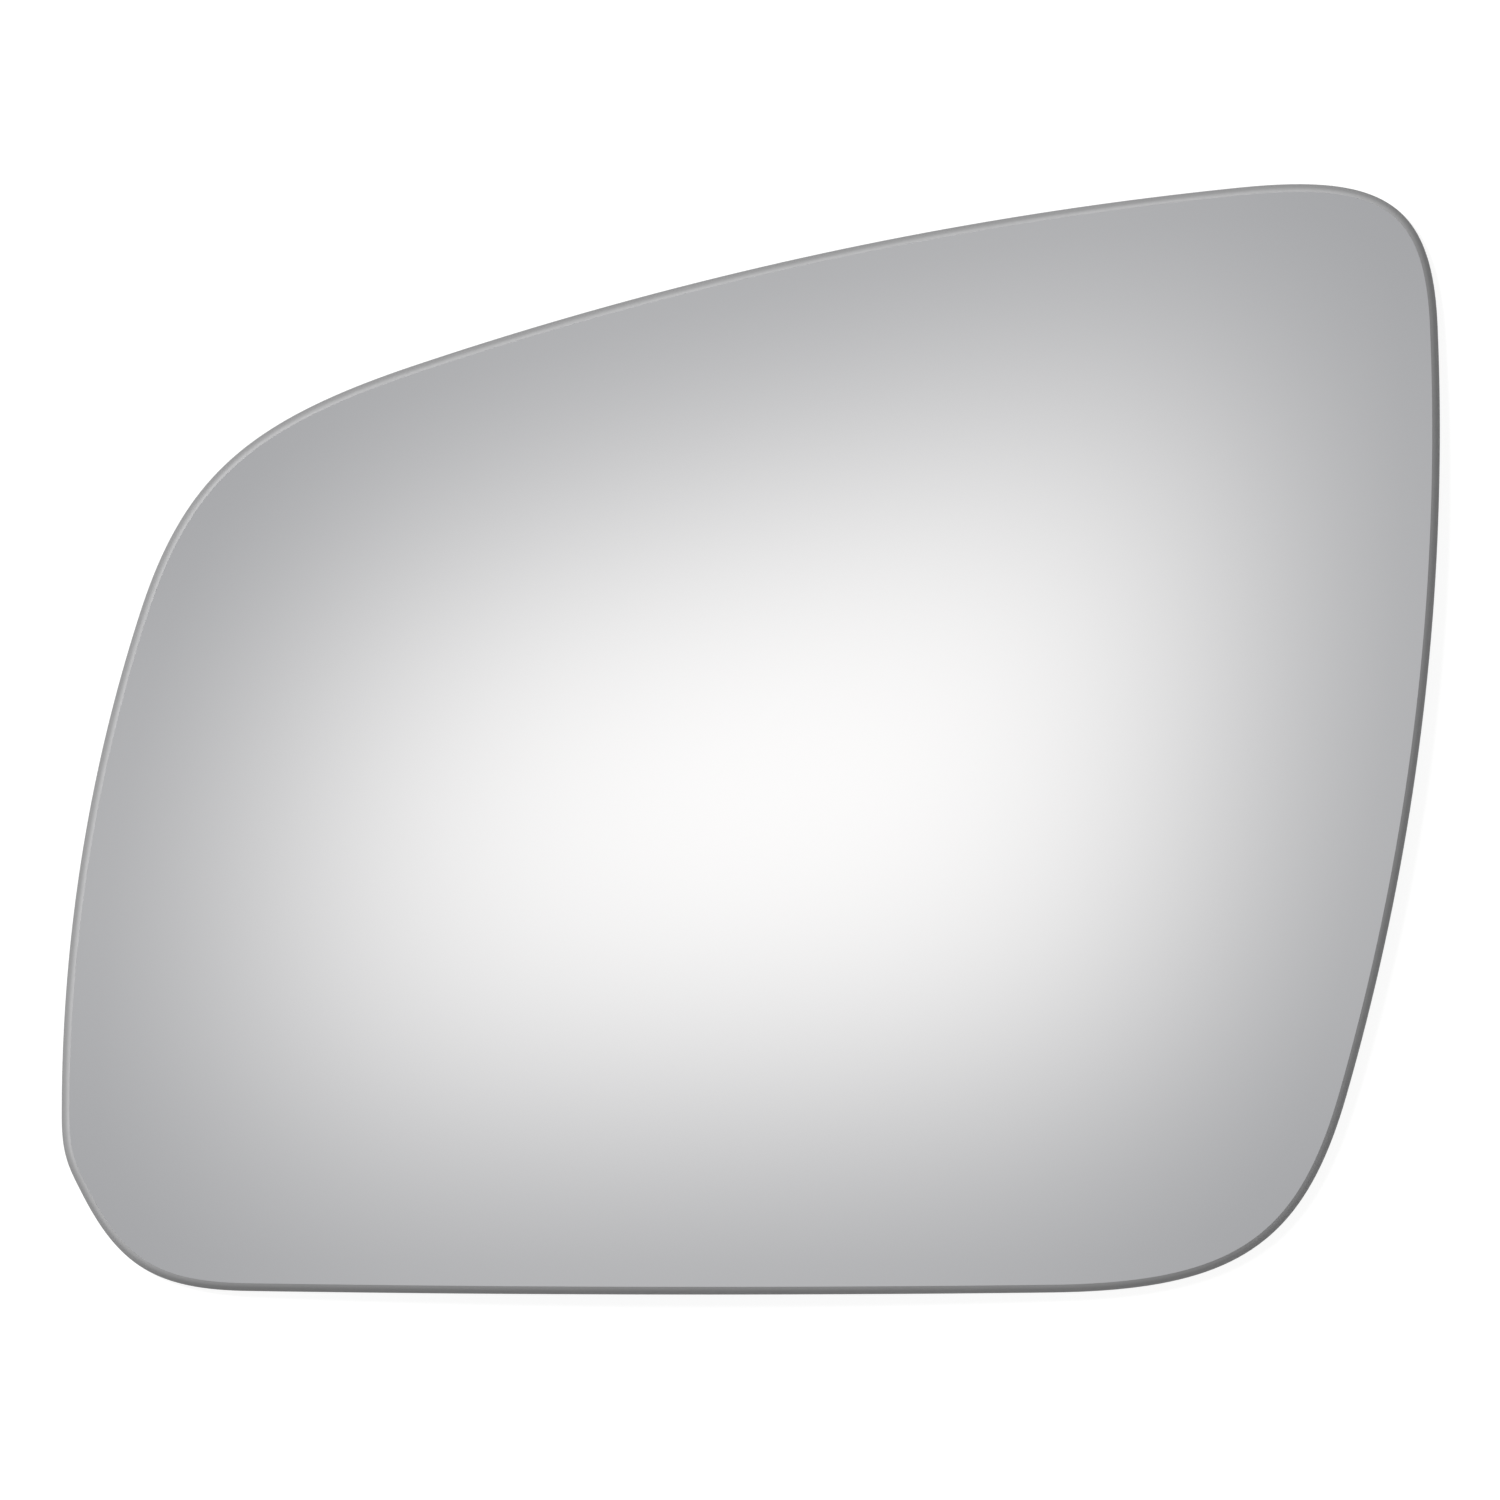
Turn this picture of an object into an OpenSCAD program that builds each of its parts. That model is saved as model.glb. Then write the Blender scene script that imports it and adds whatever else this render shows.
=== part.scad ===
// Convex glass of a car door mirror: one pane with a ground edge, silvered
// behind. It lies on its back with the reflecting face up, and its hollow
// back rests on three points of the rim. Sizes are in millimetres, and left,
// right, top and bottom are as seen from the front.

/* [Pane] */

// Overall width
glass_w = 180; // [150:1:210]

// Overall height
glass_h = 145; // [125:1:170]

// Thickness of the glass
glass_t = 2; // [1.8:0.1:3]

// Radius of the convex face
face_r = 1400; // [900:50:2500]

/* [Corners] */

// How far the top left corner lies below the top right one
top_fall = 35; // [20:0.5:50]

// How far the top left corner is set in from the left
top_left_in = 19; // [8:0.5:30]

// How far the bottom right corner is set in from the right
bottom_right_in = 19; // [8:0.5:30]

// Width of the cut across the bottom left corner
cut_w = 9; // [6:0.5:14]

// Height of the cut across the bottom left corner
cut_h = 17.5; // [14:0.5:24]

/* [Sides] */

// How far the right side bows out between its corners
right_bow = 8.7; // [4:0.1:12]

// How far the top bows out
top_bow = 6.7; // [3:0.1:10]

// How far the left side bows out
left_bow = 5.4; // [2:0.1:8]

// How far the bottom bows out
bottom_bow = 0.7; // [0:0.1:3]

/* [Rounding] */

// Top right corner: length of side it rounds off, below it and to its left
top_right_round = [19.5, 24.5]; // [10:0.5:35]

// Top left corner: length rounded off to its right and below it
top_left_round = [28.5, 23.5]; // [10:0.5:35]

// Bottom right corner: length rounded off to its left and above it
bottom_right_round = [30.5, 26]; // [10:0.5:35]

// Upper end of the cut: length rounded off above it and along the cut
cut_top_round = [5, 4]; // [2:0.5:6]

// Lower end of the cut: length rounded off along the cut and to its right
cut_foot_round = [14, 15.5]; // [6:0.5:20]

// How tightly each corner turns at its middle, where 0.6 is an even round
fullness = 0.77; // [0.6:0.01:0.85]

/* [Ground edge] */

// Width of the ground band round the face
grind_w = 1.05; // [0.4:0.05:1.6]

// How far the ground band runs down the side
grind_d = 1.3; // [1:0.05:1.4]

// How far down the side the band would reach if it kept the slope it has at the face
grind_slope_d = 0.9; // [0.4:0.05:1]

// Width of the small bevel round the back
back_bevel = 0.3; // [0.1:0.05:0.35]

/* [Hidden] */

// longest facets along the sides and round the corners
side_step = 6;
corner_step = 1.8;
// facets across the ground band
band_steps = 4;
// how far the blank reaches past the curved faces that trim it
spare = 0.3;
// facets of the two spheres
ball_fn = 400;
// rounds in which the crown finds its place
crown_rounds = 6;

// The corners in counter-clockwise order, each as
// [name, point, lengths rounded off before and after it, bow of the side after it].
corners = [
    ["bottom right", [glass_w - bottom_right_in, 0], bottom_right_round, right_bow],
    ["top right", [glass_w, glass_h], top_right_round, top_bow],
    ["top left", [top_left_in, glass_h - top_fall], top_left_round, left_bow],
    ["cut top", [0, cut_h], cut_top_round, 0],
    ["cut foot", [cut_w, 0], cut_foot_round, bottom_bow]
];
// the corners that touch the ground when the pane lies on its back
rests_on = ["bottom right", "top right", "cut foot"];

function unit(v) = v / norm(v);
function outward(v) = unit([v.y, -v.x]);
function corner(i) = corners[(i + len(corners)) % len(corners)];
function name_of(i) = corner(i)[0];
function place(i) = corner(i)[1];
function rounding(i) = corner(i)[2];
function bow(i) = corner(i)[3];
function side_length(i) = norm(place(i + 1) - place(i));

// a point and the direction of travel on the bowed side after corner i, t from 0 to 1
function side_point(i, t) =
    let (along = place(i + 1) - place(i))
    place(i) + t * along + 4 * bow(i) * t * (1 - t) * outward(along);
function side_heading(i, t) =
    let (along = place(i + 1) - place(i))
    unit(along + 4 * bow(i) * (1 - 2 * t) * outward(along));

// where the rounding of corner i starts and ends on the sides beside it
function round_start(i) = 1 - rounding(i)[0] / side_length(i - 1);
function round_end(i) = rounding(i)[1] / side_length(i);

// the rounded corner, a curve that leaves one side and joins the next smoothly
function corner_curve(i) =
    let (
        p0 = side_point(i - 1, round_start(i)),
        d0 = side_heading(i - 1, round_start(i)),
        p3 = side_point(i, round_end(i)),
        d3 = side_heading(i, round_end(i)),
        knee = p0 + d0 * cross(p3 - p0, d3) / cross(d0, d3),
        p1 = p0 + fullness * (knee - p0),
        p2 = p3 + fullness * (knee - p3),
        steps = ceil((rounding(i)[0] + rounding(i)[1]) / corner_step)
    )
    [for (k = [0 : steps]) let (t = k / steps, s = 1 - t)
        s * s * s * p0 + 3 * s * s * t * p1 + 3 * s * t * t * p2 + t * t * t * p3];

// the side after corner i, without the points that the corners already have
function side_curve(i) =
    let (
        from = round_end(i),
        to = round_start(i + 1),
        steps = ceil((to - from) * side_length(i) / side_step)
    )
    [for (k = [1 : 1 : steps - 1]) side_point(i, from + (to - from) * k / steps)];

// the whole line, fitted to the overall width and height about the origin
turns = [for (i = [0 : len(corners) - 1]) i];
drawn = [for (i = turns) each concat(corner_curve(i), side_curve(i))];
drawn_for = [for (i = turns) each concat(
    [for (p = corner_curve(i)) name_of(i)], [for (p = side_curve(i)) "side"])];
low = [min([for (p = drawn) p.x]), min([for (p = drawn) p.y])];
high = [max([for (p = drawn) p.x]), max([for (p = drawn) p.y])];
function fitted(p) =
    let (q = p - (low + high) / 2)
    [q.x * glass_w / (high.x - low.x), q.y * glass_h / (high.y - low.y)];
rim = [for (p = drawn) fitted(p)];
rim_count = len(rim);

// the rim moved inwards by w
function inset(w) =
    [for (i = [0 : rim_count - 1])
        rim[i] - w * outward(rim[(i + 1) % rim_count] - rim[(i + rim_count - 1) % rim_count])];

// The pane rests on the edge of its back at three corners. Its crown is over
// the middle of the circle through the three, so that it lies level.
foot = inset(back_bevel);
function corner_foot(name) = [for (k = [0 : rim_count - 1]) if (drawn_for[k] == name) foot[k]];
function farthest(points, middle) =
    let (far = max([for (p = points) norm(p - middle)]))
    [for (p = points) if (norm(p - middle) == far) p][0];
function circle_middle(a, b, c) =
    let (u = b - a, v = c - a, d = 2 * cross(u, v))
    a + [v.y * (u * u) - u.y * (v * v), u.x * (v * v) - v.x * (u * u)] / d;
function settled(middle, rounds) =
    let (touching = [for (name = rests_on) farthest(corner_foot(name), middle)])
    rounds <= 0 ? middle
        : settled(circle_middle(touching[0], touching[1], touching[2]), rounds - 1);
crown = settled([0, 0], crown_rounds);

// heights of the two curved faces, with the lowest edge of the back at 0
back_r = face_r - glass_t;
reach = max([for (p = foot) norm(p - crown)]);
centre_z = -sqrt(back_r * back_r - reach * reach);
function height(p, r) = centre_z + sqrt(r * r - (p - crown) * (p - crown));

// rings of the blank, from below the pane to above it
function ring(points, r, drop) = [for (p = points) [p.x, p.y, height(p, r) - drop]];
function level_ring(points, z) = [for (p = points) [p.x, p.y, z]];
band = [for (k = [0 : band_steps]) let (t = k / band_steps, s = 1 - t)
    [grind_w * t * t, grind_d * s * s + 2 * grind_slope_d * s * t]];
past_face = inset(grind_w * (1 + spare / grind_slope_d));
past_back = inset(back_bevel + spare);
rings = concat(
    [level_ring(past_back, -2 * spare)],
    [ring(past_back, back_r, spare)],
    [ring(rim, back_r, -back_bevel)],
    [for (b = band) ring(inset(b[0]), face_r, b[1])],
    [ring(past_face, face_r, -spare)],
    [level_ring(past_face, centre_z + face_r + 2 * spare)]
);

module blank() {
    last = len(rings) - 1;
    // two triangles between each pair of neighbours in each pair of rings
    walls = [for (k = [0 : last - 1], i = [0 : rim_count - 1])
        let (
            a = k * rim_count + i,
            b = k * rim_count + (i + 1) % rim_count
        )
        each [[a, a + rim_count, b], [b, a + rim_count, b + rim_count]]];
    floor_face = [for (i = [0 : rim_count - 1]) i];
    top_face = [for (i = [rim_count - 1 : -1 : 0]) last * rim_count + i];
    polyhedron([for (r = rings) each r], concat([floor_face], walls, [top_face]), convexity = 4);
}

module ball(r) {
    translate([crown.x, crown.y, centre_z])
        rotate([90, 0, 0])
            sphere(r, $fn = ball_fn);
}

module mirror_glass() {
    color("silver")
        intersection() {
            difference() {
                ball(face_r);
                ball(back_r);
            }
            blank();
        }
}

mirror_glass();
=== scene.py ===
import math

import bpy
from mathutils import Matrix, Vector


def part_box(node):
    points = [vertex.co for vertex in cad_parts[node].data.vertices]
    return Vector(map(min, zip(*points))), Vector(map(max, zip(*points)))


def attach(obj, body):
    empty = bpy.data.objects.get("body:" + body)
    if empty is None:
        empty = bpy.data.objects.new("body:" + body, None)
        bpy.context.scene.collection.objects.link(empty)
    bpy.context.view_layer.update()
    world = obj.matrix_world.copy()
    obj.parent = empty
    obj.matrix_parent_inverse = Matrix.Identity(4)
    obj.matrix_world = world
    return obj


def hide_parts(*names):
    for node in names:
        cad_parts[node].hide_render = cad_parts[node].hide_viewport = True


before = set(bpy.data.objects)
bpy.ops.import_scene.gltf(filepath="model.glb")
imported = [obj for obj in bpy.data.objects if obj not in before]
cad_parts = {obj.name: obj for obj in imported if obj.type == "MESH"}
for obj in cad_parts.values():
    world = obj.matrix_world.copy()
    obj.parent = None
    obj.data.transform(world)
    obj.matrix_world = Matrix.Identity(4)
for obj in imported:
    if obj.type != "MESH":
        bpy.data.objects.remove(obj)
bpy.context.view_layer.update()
paneLow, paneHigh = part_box("mirror_glass")
mm = 0.001
noiseLow, noiseHigh = 0.3, 0.7  # between which a noise texture mostly stays
print("frame loaded")


def linearColor(hexText):
    # sRGB hex to the linear colour that the shaders take
    channels = [int(hexText[k:k + 2], 16) / 255 for k in (1, 3, 5)]
    return [c / 12.92 if c <= 0.04045 else ((c + 0.055) / 1.055) ** 2.4 for c in channels] + [1]


def addNode(tree, kind, inputs=None, **settings):
    # adds one node; an input takes a value, a socket, or a node for its first live output
    node = tree.nodes.new(kind)
    for key, value in settings.items():
        setattr(node, key, value)
    for key, value in (inputs or {}).items():
        if isinstance(value, bpy.types.Node):
            value = next(output for output in value.outputs if output.enabled)
        if isinstance(value, bpy.types.NodeSocket):
            tree.links.new(value, node.inputs[key])
        else:
            node.inputs[key].default_value = value
    return node


def newMaterial(name):
    material = bpy.data.materials.new(name)
    material.use_nodes = True
    material.node_tree.nodes.clear()
    return material


# Silvered float glass: soda-lime glass with silver behind it. Smooth and almost without
# colour, it gives the eye a clear, bright reflection under the gloss of the glass.
silvered = {
    "tint": "#f6f6f6",
    "roughness": (0.015, 0.03),
    "film": 22 * mm,  # size of the slightly softer patches
    "glossRoughness": 0.01,
    "glassIor": 1.52,
}


def silveredGlass():
    material = newMaterial("silvered float glass")
    tree = material.node_tree
    here = addNode(tree, "ShaderNodeTexCoord").outputs["Object"]
    film = addNode(tree, "ShaderNodeTexNoise", {
        "Vector": here,
        "Scale": 1 / silvered["film"],
        "Detail": 3,
    })
    roughness = addNode(tree, "ShaderNodeMapRange", {
        "Value": film.outputs["Fac"],
        "From Min": noiseLow,
        "From Max": noiseHigh,
        "To Min": silvered["roughness"][0],
        "To Max": silvered["roughness"][1],
    })
    shader = addNode(tree, "ShaderNodeBsdfPrincipled", {
        "Base Color": linearColor(silvered["tint"]),
        "Metallic": 1,
        "Roughness": roughness,
        "Coat Weight": 1,
        "Coat Roughness": silvered["glossRoughness"],
        "Coat IOR": silvered["glassIor"],
    })
    addNode(tree, "ShaderNodeOutputMaterial", {"Surface": shader})
    return material


# Ground glass: the rim as a fine grinding wheel leaves it. Frosted and grey, it gives the
# eye a matt line round the bright face with faint marks that run along it. Its grey is
# painted paler next to the silver and darker down the side: painted shade on the steeper part.
ground = {
    # painted shade: the tones darken the grey from the face down to the side
    "tonesWithPaintedShade": [(0.37, "#aaaaab"), (1.15, "#8e8e8f"), (1.88, "#818182")],  # mm down the band
    "rampLength": 2.5,  # mm down the band that the whole ramp of tones stands for
    "reliefRange": (0.1, 0.4),  # between which marks times grit mostly stay
    "markShade": 0.05,  # how much the relief darkens and lightens the tone
    "roughness": (0.42, 0.6),
    "markLength": 9 * mm,
    "markWidth": 0.3 * mm,  # real marks are finer; these are as coarse as they need to show
    "grit": 0.45 * mm,  # coarser than real grit, for the same reason
    "markDepth": 0.006 * mm,
    "glassIor": 1.52,
}


def groundGlass():
    material = newMaterial("ground glass")
    tree = material.node_tree
    here = addNode(tree, "ShaderNodeTexCoord").outputs["Object"]
    down = addNode(tree, "ShaderNodeAttribute", attribute_name="downBand").outputs["Fac"]
    flat = addNode(tree, "ShaderNodeSeparateXYZ", {"Vector": here})
    # the place changes little over a mark's length, and the way down the band runs fast
    alongX = addNode(tree, "ShaderNodeMath", {
        0: flat.outputs["X"], 1: ground["markLength"]}, operation="DIVIDE")
    alongY = addNode(tree, "ShaderNodeMath", {
        0: flat.outputs["Y"], 1: ground["markLength"]}, operation="DIVIDE")
    downMarks = addNode(tree, "ShaderNodeMath", {
        0: down, 1: ground["markWidth"]}, operation="DIVIDE")
    lines = addNode(tree, "ShaderNodeCombineXYZ", {"X": alongX, "Y": alongY, "Z": downMarks})
    marks = addNode(tree, "ShaderNodeTexNoise", {"Vector": lines, "Scale": 1, "Detail": 3})
    grit = addNode(tree, "ShaderNodeTexNoise", {
        "Vector": here,
        "Scale": 1 / ground["grit"],
        "Detail": 2,
    })
    relief = addNode(tree, "ShaderNodeMath", {
        0: marks.outputs["Fac"], 1: grit.outputs["Fac"]}, operation="MULTIPLY")
    depth = addNode(tree, "ShaderNodeMapRange", {
        "Value": down, "From Max": ground["rampLength"] * mm})
    # painted shade: the ramp darkens the grey down the band, toward the rim
    tone = addNode(tree, "ShaderNodeValToRGB", {"Fac": depth})
    tone.color_ramp.elements.new(0.5)
    for stop, (place, color) in zip(tone.color_ramp.elements, ground["tonesWithPaintedShade"]):
        stop.position = place / ground["rampLength"]
        stop.color = linearColor(color)
    shade = addNode(tree, "ShaderNodeMapRange", {
        "Value": relief,
        "From Min": ground["reliefRange"][0],
        "From Max": ground["reliefRange"][1],
        "To Min": 1 - ground["markShade"],
        "To Max": 1 + ground["markShade"],
    })
    color = addNode(tree, "ShaderNodeVectorMath", {
        0: tone, "Scale": shade}, operation="SCALE")
    roughness = addNode(tree, "ShaderNodeMapRange", {
        "Value": grit.outputs["Fac"],
        "From Min": noiseLow,
        "From Max": noiseHigh,
        "To Min": ground["roughness"][0],
        "To Max": ground["roughness"][1],
    })
    bump = addNode(tree, "ShaderNodeBump", {"Height": relief, "Distance": ground["markDepth"]})
    shader = addNode(tree, "ShaderNodeBsdfPrincipled", {
        "Base Color": color,
        "Roughness": roughness,
        "IOR": ground["glassIor"],
        "Normal": bump,
    })
    addNode(tree, "ShaderNodeOutputMaterial", {"Surface": shader})
    return material


# Mirror backing paint: a baked grey lacquer, curtain-coated over the silver. It gives the
# eye an even satin grey with a faint orange peel.
backing = {
    "dark": "#616669",
    "light": "#696e71",
    "roughness": 0.48,
    "cloud": 28 * mm,  # size of the slightly paler patches
    "cloudRange": (0.35, 0.65),
    "peel": 2.2 * mm,
    "peelDepth": 0.03 * mm,
    "peelStrength": 0.5,
}


def backingPaint():
    material = newMaterial("mirror backing paint")
    tree = material.node_tree
    here = addNode(tree, "ShaderNodeTexCoord").outputs["Object"]
    cloud = addNode(tree, "ShaderNodeTexNoise", {
        "Vector": here,
        "Scale": 1 / backing["cloud"],
        "Detail": 4,
    })
    color = addNode(tree, "ShaderNodeValToRGB", {"Fac": cloud.outputs["Fac"]})
    stops = zip(color.color_ramp.elements, backing["cloudRange"], ("dark", "light"))
    for stop, place, tone in stops:
        stop.position = place
        stop.color = linearColor(backing[tone])
    peel = addNode(tree, "ShaderNodeTexNoise", {
        "Vector": here,
        "Scale": 1 / backing["peel"],
        "Detail": 1,
    })
    bump = addNode(tree, "ShaderNodeBump", {
        "Height": peel.outputs["Fac"],
        "Distance": backing["peelDepth"],
        "Strength": backing["peelStrength"],
    })
    shader = addNode(tree, "ShaderNodeBsdfPrincipled", {
        "Base Color": color.outputs["Color"],
        "Roughness": backing["roughness"],
        "Normal": bump,
    })
    addNode(tree, "ShaderNodeOutputMaterial", {"Surface": shader})
    return material


# The outline, in millimetres from the lower left. Each corner has its place, the lengths
# that its rounding takes off the sides before and after it, and the bow of the side after.
outline = {
    "corners": [
        {"place": (161, 0), "rounding": (30.5, 26), "bow": 8.7},
        {"place": (180, 145), "rounding": (19.5, 24.5), "bow": 6.7},
        {"place": (19, 110), "rounding": (28.5, 23.5), "bow": 5.4},
        {"place": (0, 17.5), "rounding": (5, 4), "bow": 0},
        {"place": (9, 0), "rounding": (14, 15.5), "bow": 0.7},
    ],
    "fullness": 0.77,  # how tightly a corner turns at its middle
    "resolution": 40,  # points that each stretch between two knots is drawn with
}


def sideAt(number, share):
    # the point and the slope on the bowed side after a corner, share 0 to 1 along it
    corners = outline["corners"]
    start = Vector(corners[number]["place"])
    along = Vector(corners[(number + 1) % len(corners)]["place"]) - start
    outward = Vector((along.y, -along.x)).normalized()
    bow = 4 * corners[number]["bow"] * outward
    return start + share * along + share * (1 - share) * bow, along + (1 - 2 * share) * bow


def sideRun(number):
    # the shares of a side between which neither of its roundings touches it
    corners = outline["corners"]
    following = corners[(number + 1) % len(corners)]
    length = (Vector(following["place"]) - Vector(corners[number]["place"])).length
    return corners[number]["rounding"][1] / length, 1 - following["rounding"][0] / length


def outlineKnots():
    # two knots for each corner, as (handle before, point, handle after)
    knots = []
    for number in range(len(outline["corners"])):
        before = (number - 1) % len(outline["corners"])
        startBefore, endBefore = sideRun(before)
        startAfter, endAfter = sideRun(number)
        pointIn, slopeIn = sideAt(before, endBefore)
        pointOut, slopeOut = sideAt(number, startAfter)
        reach = (pointOut - pointIn).cross(slopeOut) / slopeIn.cross(slopeOut)
        knee = pointIn + slopeIn * reach  # where the two tangents meet
        knots.append((
            pointIn - slopeIn * (endBefore - startBefore) / 3,
            pointIn,
            pointIn.lerp(knee, outline["fullness"]),
        ))
        knots.append((
            pointOut.lerp(knee, outline["fullness"]),
            pointOut,
            pointOut + slopeOut * (endAfter - startAfter) / 3,
        ))
    return knots


def outlineCurve():
    # the closed outline as a Bezier curve, flat on the table
    data = bpy.data.curves.new("outline", "CURVE")
    data.dimensions = "2D"
    data.fill_mode = "NONE"
    data.resolution_u = outline["resolution"]
    spline = data.splines.new("BEZIER")
    knots = outlineKnots()
    spline.bezier_points.add(len(knots) - 1)
    spline.use_cyclic_u = True
    for knot, (handleBefore, place, handleAfter) in zip(spline.bezier_points, knots):
        knot.handle_left_type = "FREE"
        knot.handle_right_type = "FREE"
        knot.co = place.to_3d() * mm
        knot.handle_left = handleBefore.to_3d() * mm
        knot.handle_right = handleAfter.to_3d() * mm
    curve = bpy.data.objects.new("outline", data)
    bpy.context.scene.collection.objects.link(curve)
    return curve


# The pane. Its rows run from the middle of the face over the ground band, the side and the
# back bevel to the middle of the back, and its columns run round the rim.
pane = {
    "Face Rows": 24,
    "Band Rows": 8,
    "Back Rows": 18,
    "Thickness": 2 * mm,
    "Face Radius": 1400 * mm,
    "Band Width": 1.05 * mm,
    "Band Depth": 1.3 * mm,
    "Band Slope Depth": 0.9 * mm,  # the depth if the band kept the slope it has at the face
    "Back Bevel": 0.3 * mm,
    "Low Corner": paneLow,
    "High Corner": paneHigh,
    "Crown": Vector((-8.23, 13.18, 0)) * mm,  # middle of the circle through its three feet
}
print("sizes set")


def fittedRim(tree, given):
    # the outline as points, fitted to the box of the pane, and how many points there are
    points = addNode(tree, "GeometryNodeResampleCurve", {
        "Curve": given["Outline"]}, mode="EVALUATED")
    position = addNode(tree, "GeometryNodeInputPosition")
    extent = addNode(tree, "GeometryNodeAttributeStatistic", {
        "Geometry": points, "Attribute": position}, data_type="FLOAT_VECTOR").outputs
    fitted = addNode(tree, "ShaderNodeMapRange", {
        "Vector": position,
        "From Min": extent["Min"],
        "From Max": extent["Max"],
        "To Min": given["Low Corner"],
        "To Max": given["High Corner"],
    }, data_type="FLOAT_VECTOR", clamp=False)
    level = addNode(tree, "ShaderNodeVectorMath", {0: fitted, 1: (1, 1, 0)}, operation="MULTIPLY")
    rim = addNode(tree, "GeometryNodeSetPosition", {"Geometry": points, "Position": level})
    count = addNode(tree, "GeometryNodeAttributeDomainSize", {
        "Geometry": rim}, component="CURVE").outputs["Point Count"]
    return rim, count


def sectionAt(tree, given, row, ends):
    # what a row says of a point: its share of the way from the middle out, how far in from
    # the rim it lies, the layer of its curved face, and its depth below the crown's level
    faceEnd, bandEnd, sideEnd, bevelEnd, backEnd = ends
    onFace = addNode(tree, "ShaderNodeMapRange", {"Value": row, "From Max": faceEnd})
    downBand = addNode(tree, "ShaderNodeMapRange", {
        "Value": row, "From Min": faceEnd, "From Max": bandEnd})
    upBand = addNode(tree, "ShaderNodeMath", {0: 1, 1: downBand}, operation="SUBTRACT")
    downSide = addNode(tree, "ShaderNodeMapRange", {
        "Value": row, "From Min": bandEnd, "From Max": sideEnd})
    overBevel = addNode(tree, "ShaderNodeMapRange", {
        "Value": row, "From Min": sideEnd, "From Max": bevelEnd})
    onBack = addNode(tree, "ShaderNodeMapRange", {
        "Value": row, "From Min": bevelEnd, "From Max": backEnd, "To Min": 1, "To Max": 0})
    spread = addNode(tree, "ShaderNodeMath", {0: onFace, 1: onBack}, operation="MULTIPLY")

    # the band rounds over from its slope at the face to upright at the rim
    bandTurn = addNode(tree, "ShaderNodeMath", {0: upBand, 1: upBand}, operation="MULTIPLY")
    bandInset = addNode(tree, "ShaderNodeMath", {
        0: bandTurn, 1: given["Band Width"]}, operation="MULTIPLY")
    inset = addNode(tree, "ShaderNodeMath", {
        0: overBevel, 1: given["Back Bevel"], 2: bandInset}, operation="MULTIPLY_ADD")
    fallTurn = addNode(tree, "ShaderNodeMath", {0: downBand, 1: downBand}, operation="MULTIPLY")
    fall = addNode(tree, "ShaderNodeMath", {
        0: fallTurn, 1: given["Band Depth"]}, operation="MULTIPLY")
    slopeTurn = addNode(tree, "ShaderNodeMath", {0: upBand, 1: downBand}, operation="MULTIPLY")
    slopeTwice = addNode(tree, "ShaderNodeMath", {0: slopeTurn, 1: 2}, operation="MULTIPLY")
    bandDrop = addNode(tree, "ShaderNodeMath", {
        0: slopeTwice, 1: given["Band Slope Depth"], 2: fall}, operation="MULTIPLY_ADD")

    # the side ends a bevel above the back, and the bevel leads down to it
    bevelLeft = addNode(tree, "ShaderNodeMath", {0: overBevel, 1: 1}, operation="SUBTRACT")
    sideDrop = addNode(tree, "ShaderNodeMath", {
        0: bevelLeft, 1: given["Back Bevel"]}, operation="MULTIPLY")
    drop = addNode(tree, "ShaderNodeMix", {
        "Factor": downSide, "A": bandDrop, "B": sideDrop}, data_type="FLOAT")
    layer = addNode(tree, "ShaderNodeMath", {
        0: downSide, 1: given["Thickness"]}, operation="MULTIPLY")
    depth = addNode(tree, "ShaderNodeMath", {0: drop, 1: layer})
    return spread, inset, layer, depth


def placeOnTable(tree, rim, columns, column, inset, spread):
    # the point of the rim that a column stands for, moved in by the inset and then by the share
    nearest = addNode(tree, "ShaderNodeMath", {0: column}, operation="ROUND")
    number = addNode(tree, "ShaderNodeMath", {0: nearest, 1: columns}, operation="MODULO")
    rimPoint = addNode(tree, "GeometryNodeSampleIndex", {
        "Geometry": rim,
        "Value": addNode(tree, "GeometryNodeInputPosition"),
        "Index": number,
    }, data_type="FLOAT_VECTOR")
    rimSlope = addNode(tree, "GeometryNodeSampleIndex", {
        "Geometry": rim,
        "Value": addNode(tree, "GeometryNodeInputTangent"),
        "Index": number,
    }, data_type="FLOAT_VECTOR")
    inward = addNode(tree, "ShaderNodeVectorMath", {
        0: (0, 0, 1), 1: rimSlope}, operation="CROSS_PRODUCT")
    insetPoint = addNode(tree, "ShaderNodeVectorMath", {
        0: inward, 1: inset, 2: rimPoint}, operation="MULTIPLY_ADD")
    return addNode(tree, "ShaderNodeVectorMath", {
        0: insetPoint, "Scale": spread}, operation="SCALE")


def curvedPlace(tree, given, flat, layer, depth):
    # the sphere falls away from the crown by run * run / (radius + rise)
    radius = addNode(tree, "ShaderNodeMath", {
        0: given["Face Radius"], 1: layer}, operation="SUBTRACT")
    run = addNode(tree, "ShaderNodeVectorMath", {
        0: flat, 1: given["Crown"]}, operation="DISTANCE")
    runSquare = addNode(tree, "ShaderNodeMath", {0: run, 1: run}, operation="MULTIPLY")
    radiusSquare = addNode(tree, "ShaderNodeMath", {0: radius, 1: radius}, operation="MULTIPLY")
    riseSquare = addNode(tree, "ShaderNodeMath", {
        0: radiusSquare, 1: runSquare}, operation="SUBTRACT")
    rise = addNode(tree, "ShaderNodeMath", {0: riseSquare}, operation="SQRT")
    across = addNode(tree, "ShaderNodeMath", {0: radius, 1: rise})
    away = addNode(tree, "ShaderNodeMath", {0: runSquare, 1: across}, operation="DIVIDE")
    lower = addNode(tree, "ShaderNodeMath", {0: away, 1: depth})
    return addNode(tree, "ShaderNodeVectorMath", {
        0: flat, 1: addNode(tree, "ShaderNodeCombineXYZ", {"Z": lower})}, operation="SUBTRACT")


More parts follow.
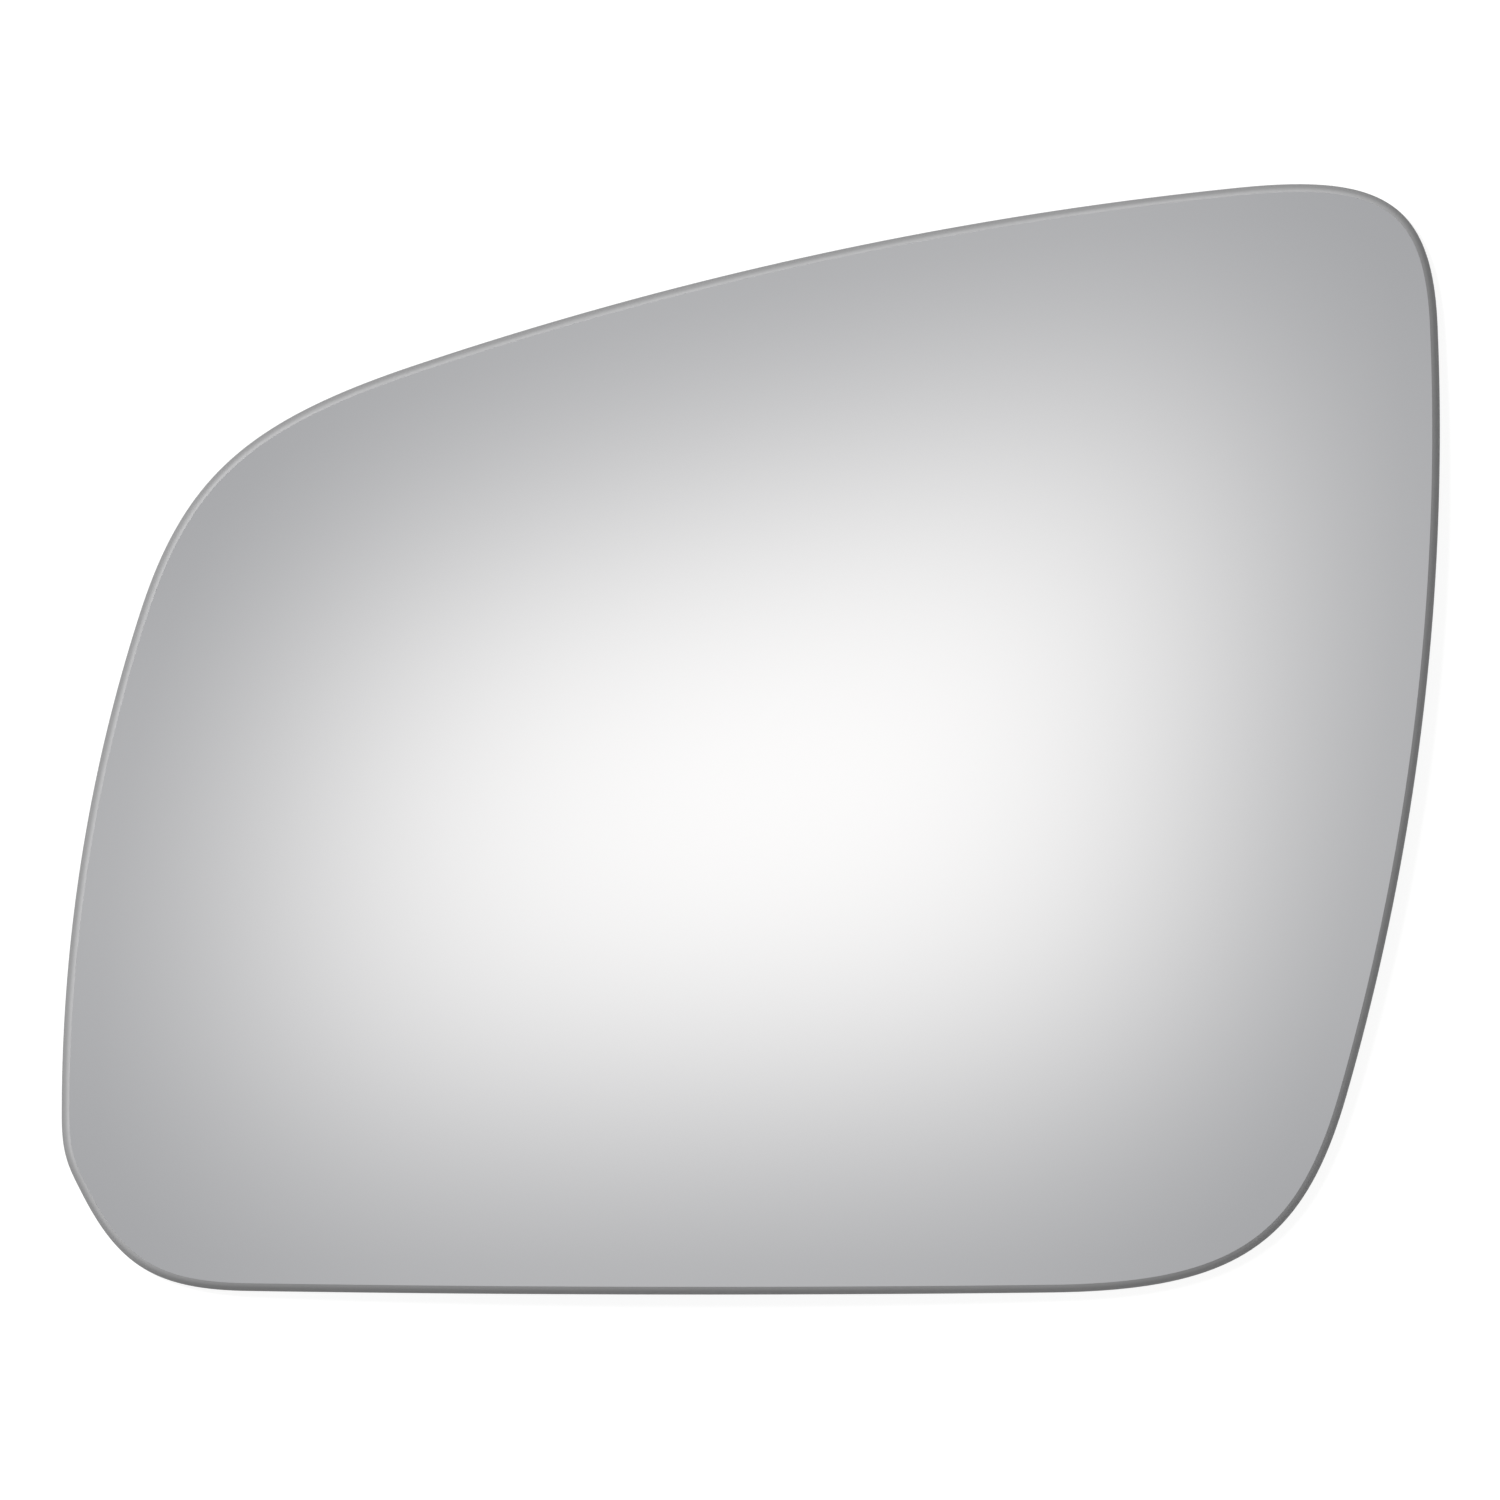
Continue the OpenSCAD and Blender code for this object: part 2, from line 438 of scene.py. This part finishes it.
def setDown(tree, given, shape):
    # moves the pane up or down until its lowest points are on the table
    lowest = addNode(tree, "GeometryNodeAttributeStatistic", {
        "Geometry": shape,
        "Attribute": addNode(tree, "GeometryNodeInputPosition"),
    }, data_type="FLOAT_VECTOR").outputs["Min"]
    lift = addNode(tree, "ShaderNodeVectorMath", {
        0: given["Low Corner"], 1: lowest}, operation="SUBTRACT")
    upright = addNode(tree, "ShaderNodeVectorMath", {
        0: lift, 1: (0, 0, 1)}, operation="MULTIPLY")
    return addNode(tree, "GeometryNodeSetPosition", {"Geometry": shape, "Offset": upright})


def paneTree(faceMaterial, rimMaterial, backMaterial):
    # the node tree that turns the outline into the pane
    tree = bpy.data.node_groups.new("curved pane", "GeometryNodeTree")
    tree.is_modifier = True
    tree.interface.new_socket("Outline", in_out="INPUT", socket_type="NodeSocketGeometry")
    tree.interface.new_socket("Pane", in_out="OUTPUT", socket_type="NodeSocketGeometry")
    for name, value in pane.items():
        kind = {int: "NodeSocketInt", float: "NodeSocketFloat"}.get(type(value), "NodeSocketVector")
        tree.interface.new_socket(name, in_out="INPUT", socket_type=kind)
    given = addNode(tree, "NodeGroupInput").outputs
    rim, columns = fittedRim(tree, given)

    # the rows at which the face, band, side, bevel and back end; side and bevel have one each
    ends = [given["Face Rows"]]
    for rows in (given["Band Rows"], 1, 1, given["Back Rows"]):
        ends.append(addNode(tree, "ShaderNodeMath", {0: ends[-1], 1: rows}))
    faceEnd, bandEnd, sideEnd, bevelEnd, backEnd = ends

    # a flat grid, whose own map tells each point its column and row
    grid = addNode(tree, "GeometryNodeMeshGrid", {
        "Vertices X": addNode(tree, "ShaderNodeMath", {0: columns, 1: 1}),
        "Vertices Y": addNode(tree, "ShaderNodeMath", {0: backEnd, 1: 1}),
    }).outputs
    share = addNode(tree, "ShaderNodeSeparateXYZ", {"Vector": grid["UV Map"]}).outputs
    column = addNode(tree, "ShaderNodeMath", {0: share["X"], 1: columns}, operation="MULTIPLY")
    row = addNode(tree, "ShaderNodeMath", {0: share["Y"], 1: backEnd}, operation="MULTIPLY")
    spread, inset, layer, depth = sectionAt(tree, given, row, ends)
    flat = placeOnTable(tree, rim, columns, column, inset, spread)
    shape = addNode(tree, "GeometryNodeSetPosition", {
        "Geometry": grid["Mesh"],
        "Position": curvedPlace(tree, given, flat, layer, depth),
    })
    shape = setDown(tree, given, shape)
    shape = addNode(tree, "GeometryNodeFlipFaces", {"Mesh": shape})

    # the way down the band, as the way out from the face plus the way down from it
    fromFace = addNode(tree, "ShaderNodeMath", {
        0: given["Band Width"], 1: inset}, operation="SUBTRACT")
    shape = addNode(tree, "GeometryNodeStoreNamedAttribute", {
        "Geometry": shape,
        "Name": "downBand",
        "Value": addNode(tree, "ShaderNodeMath", {0: depth, 1: fromFace}),
    })
    shape = addNode(tree, "GeometryNodeMergeByDistance", {
        "Geometry": shape, "Distance": 0.0001 * mm})

    # smooth shading with three sharp lines, and the materials
    shape = addNode(tree, "GeometryNodeSetShadeSmooth", {"Geometry": shape}, domain="FACE")
    for crease in (faceEnd, sideEnd, bevelEnd):
        near = addNode(tree, "FunctionNodeCompare", {
            "A": row, "B": crease, "Epsilon": 0.1}, operation="EQUAL")
        shape = addNode(tree, "GeometryNodeSetShadeSmooth", {
            "Geometry": shape, "Selection": near, "Shade Smooth": False}, domain="EDGE")
    shape = addNode(tree, "GeometryNodeRealizeInstances", {"Geometry": shape})
    shape = addNode(tree, "GeometryNodeSetMaterial", {
        "Geometry": shape, "Material": faceMaterial})
    for edge, material in ((faceEnd, rimMaterial), (bevelEnd, backMaterial)):
        beyond = addNode(tree, "FunctionNodeCompare", {"A": row, "B": edge})
        shape = addNode(tree, "GeometryNodeSetMaterial", {
            "Geometry": shape, "Selection": beyond, "Material": material})
    addNode(tree, "NodeGroupOutput", {"Pane": shape})
    return tree


def makePane():
    curve = outlineCurve()
    tree = paneTree(silveredGlass(), groundGlass(), backingPaint())
    modifier = curve.modifiers.new("curved pane", "NODES")
    modifier.node_group = tree
    for item in tree.interface.items_tree:
        if item.name in pane:
            modifier[item.identifier] = pane[item.name]
    evaluated = curve.evaluated_get(bpy.context.evaluated_depsgraph_get())
    mesh = bpy.data.meshes.new_from_object(evaluated)
    mesh.name = "mirrorPane"
    curve.modifiers.remove(modifier)
    bpy.data.objects.remove(curve)
    made = bpy.data.objects.new("mirrorPane", mesh)
    bpy.context.scene.collection.objects.link(made)
    return made


mirrorPane = makePane()
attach(mirrorPane, "root")
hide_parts("mirror_glass")
print("pane made:", len(mirrorPane.data.polygons), "faces")


# The white table: matt laminate, wide enough to reach the horizon. The camera sees it
# washed out by the white of the backdrop, so that only the deep part of the shadow shows.
table = {
    "size": 60,
    "color": "#f4f4f3",
    "roughness": 0.8,
    "shine": 0.2,
    "laminateShare": 0.29,  # of what the camera sees; the white is the rest
    "whiteStrength": 1.22,
}


def makeTable():
    mesh = bpy.data.meshes.new("table")
    half = table["size"] / 2
    corners = [(-half, -half, 0), (half, -half, 0), (half, half, 0), (-half, half, 0)]
    mesh.from_pydata(corners, [], [(0, 1, 2, 3)])
    made = bpy.data.objects.new("table", mesh)
    bpy.context.scene.collection.objects.link(made)
    material = newMaterial("matt white laminate")
    tree = material.node_tree
    laminate = addNode(tree, "ShaderNodeBsdfPrincipled", {
        "Base Color": linearColor(table["color"]),
        "Roughness": table["roughness"],
        "Specular IOR Level": table["shine"],
    })
    white = addNode(tree, "ShaderNodeEmission", {
        "Color": (1, 1, 1, 1), "Strength": table["whiteStrength"]})
    washed = addNode(tree, "ShaderNodeMixShader", {
        0: table["laminateShare"], 1: white, 2: laminate})
    rays = addNode(tree, "ShaderNodeLightPath").outputs
    seen = addNode(tree, "ShaderNodeMath", {
        0: rays["Is Camera Ray"], 1: rays["Is Glossy Ray"]}, operation="MAXIMUM")
    seenOrThrough = addNode(tree, "ShaderNodeMath", {
        0: seen, 1: rays["Is Transmission Ray"]}, operation="MAXIMUM")
    topSide = addNode(tree, "ShaderNodeMixShader", {0: seenOrThrough, 1: laminate, 2: washed})
    # from below, the table lets the view and the lamp through to the back of the pane
    fromBelow = addNode(tree, "ShaderNodeMath", {
        0: addNode(tree, "ShaderNodeNewGeometry").outputs["Backfacing"],
        1: rays["Is Shadow Ray"],
    }, operation="MAXIMUM")
    both = addNode(tree, "ShaderNodeMixShader", {
        0: fromBelow, 1: topSide, 2: addNode(tree, "ShaderNodeBsdfTransparent")})
    addNode(tree, "ShaderNodeOutputMaterial", {"Surface": both})
    mesh.materials.append(material)
    return made


makeTable()
print("table made")


# The studio. The pane mirrors a large soft light above it, with four feathered sides, in a
# grey ceiling between pale walls. Each side has the compass angle that it faces and its
# distance from straight up, where 1 is level with the table. Angles are in degrees, and
# compass angles run counter-clockwise from the right.
studio = {
    "ceiling": "#a1a2a5",
    "softLight": (1.205, 1.195, 1.19, 1),  # a faintly warm white, a little overexposed
    "sides": [(-4, 0.118), (103, 0.034), (176, 0.093), (-88, 0.099)],
    "feather": 0.027,
    "walls": "#d7d8da",
    "ceilingAbove": 0.6,  # where the walls have given way to it; straight up is 1
    "fill": 0.45,  # even light on the pane and the table, from above only
    "lamps": [
        {"name": "key light", "compass": 143, "height": 37, "strength": 2.89, "size": 14},
        {"name": "light from below", "compass": 0, "height": -90, "strength": 2.6, "size": 14},
    ],
}


def softLightShare(tree, sky):
    # nearly 1 inside the soft light, falling to 0 past its feathered sides
    share = 1
    for compass, distance in studio["sides"]:
        side = math.radians(compass)
        toward = addNode(tree, "ShaderNodeVectorMath", {
            0: sky, 1: (math.cos(side), math.sin(side), 0)}, operation="DOT_PRODUCT")
        beyond = addNode(tree, "ShaderNodeMath", {0: toward, 1: distance}, operation="SUBTRACT")
        feathered = addNode(tree, "ShaderNodeMath", {
            0: beyond, 1: studio["feather"]}, operation="DIVIDE")
        grown = addNode(tree, "ShaderNodeMath", {0: feathered}, operation="EXPONENT")
        raised = addNode(tree, "ShaderNodeMath", {0: grown, 1: 1})
        share = addNode(tree, "ShaderNodeMath", {0: share, 1: raised}, operation="DIVIDE")
    return share


def makeWorld():
    world = bpy.data.worlds.new("studio")
    world.use_nodes = True
    bpy.context.scene.world = world
    tree = world.node_tree
    tree.nodes.clear()
    sky = addNode(tree, "ShaderNodeTexCoord").outputs["Generated"]
    lit = addNode(tree, "ShaderNodeMix", {
        "Factor": softLightShare(tree, sky),
        "A": linearColor(studio["ceiling"]),
        "B": studio["softLight"],
    }, data_type="RGBA")
    up = addNode(tree, "ShaderNodeSeparateXYZ", {"Vector": sky}).outputs["Z"]
    low = addNode(tree, "ShaderNodeMapRange", {
        "Value": up,
        "From Max": studio["ceilingAbove"],
        "To Min": 1,
        "To Max": 0,
    }, interpolation_type="SMOOTHSTEP")
    mirrored = addNode(tree, "ShaderNodeMix", {
        "Factor": low, "A": lit, "B": linearColor(studio["walls"])}, data_type="RGBA")
    rays = addNode(tree, "ShaderNodeLightPath").outputs
    inMirror = addNode(tree, "ShaderNodeMath", {
        0: rays["Is Glossy Ray"], 1: rays["Is Transmission Ray"]}, operation="MAXIMUM")
    aboveTable = addNode(tree, "ShaderNodeMath", {0: up, 1: 0}, operation="GREATER_THAN")
    fill = addNode(tree, "ShaderNodeBackground", {
        "Strength": addNode(tree, "ShaderNodeMath", {
            0: aboveTable, 1: studio["fill"]}, operation="MULTIPLY"),
    })
    shown = addNode(tree, "ShaderNodeBackground", {"Color": mirrored})
    white = addNode(tree, "ShaderNodeBackground", {"Color": (1, 1, 1, 1)})
    room = addNode(tree, "ShaderNodeMixShader", {0: inMirror, 1: fill, 2: shown})
    backdrop = addNode(tree, "ShaderNodeMixShader", {0: rays["Is Camera Ray"], 1: room, 2: white})
    addNode(tree, "ShaderNodeOutputWorld", {"Surface": backdrop})


def makeLamp(lamp):
    data = bpy.data.lights.new(lamp["name"], "SUN")
    data.energy = lamp["strength"]
    data.angle = math.radians(lamp["size"])
    made = bpy.data.objects.new(lamp["name"], data)
    bpy.context.scene.collection.objects.link(made)
    compass, height = math.radians(lamp["compass"]), math.radians(lamp["height"])
    source = Vector((
        math.cos(compass) * math.cos(height),
        math.sin(compass) * math.cos(height),
        math.sin(height),
    ))
    made.rotation_euler = source.to_track_quat("Z", "Y").to_euler()
    made.location = source
    made.visible_glossy = False  # or its disc burns out part of the mirror in a low view


makeWorld()
for lamp in studio["lamps"]:
    makeLamp(lamp)
print("studio lit")


# The camera looks straight down through a long lens, a little off the middle of the pane.
camera = {
    "middle": (-0.1 * mm, -1.4 * mm),
    "height": 3000 * mm,
    "frameWidth": 195.97 * mm,  # how much of the table the picture takes in
}


def makeCamera():
    data = bpy.data.cameras.new("camera")
    data.lens = data.sensor_width * camera["height"] / camera["frameWidth"]
    made = bpy.data.objects.new("camera", data)
    made.location = (*camera["middle"], camera["height"])
    bpy.context.scene.collection.objects.link(made)
    bpy.context.scene.camera = made


makeCamera()
bpy.context.scene.view_settings.view_transform = "Standard"
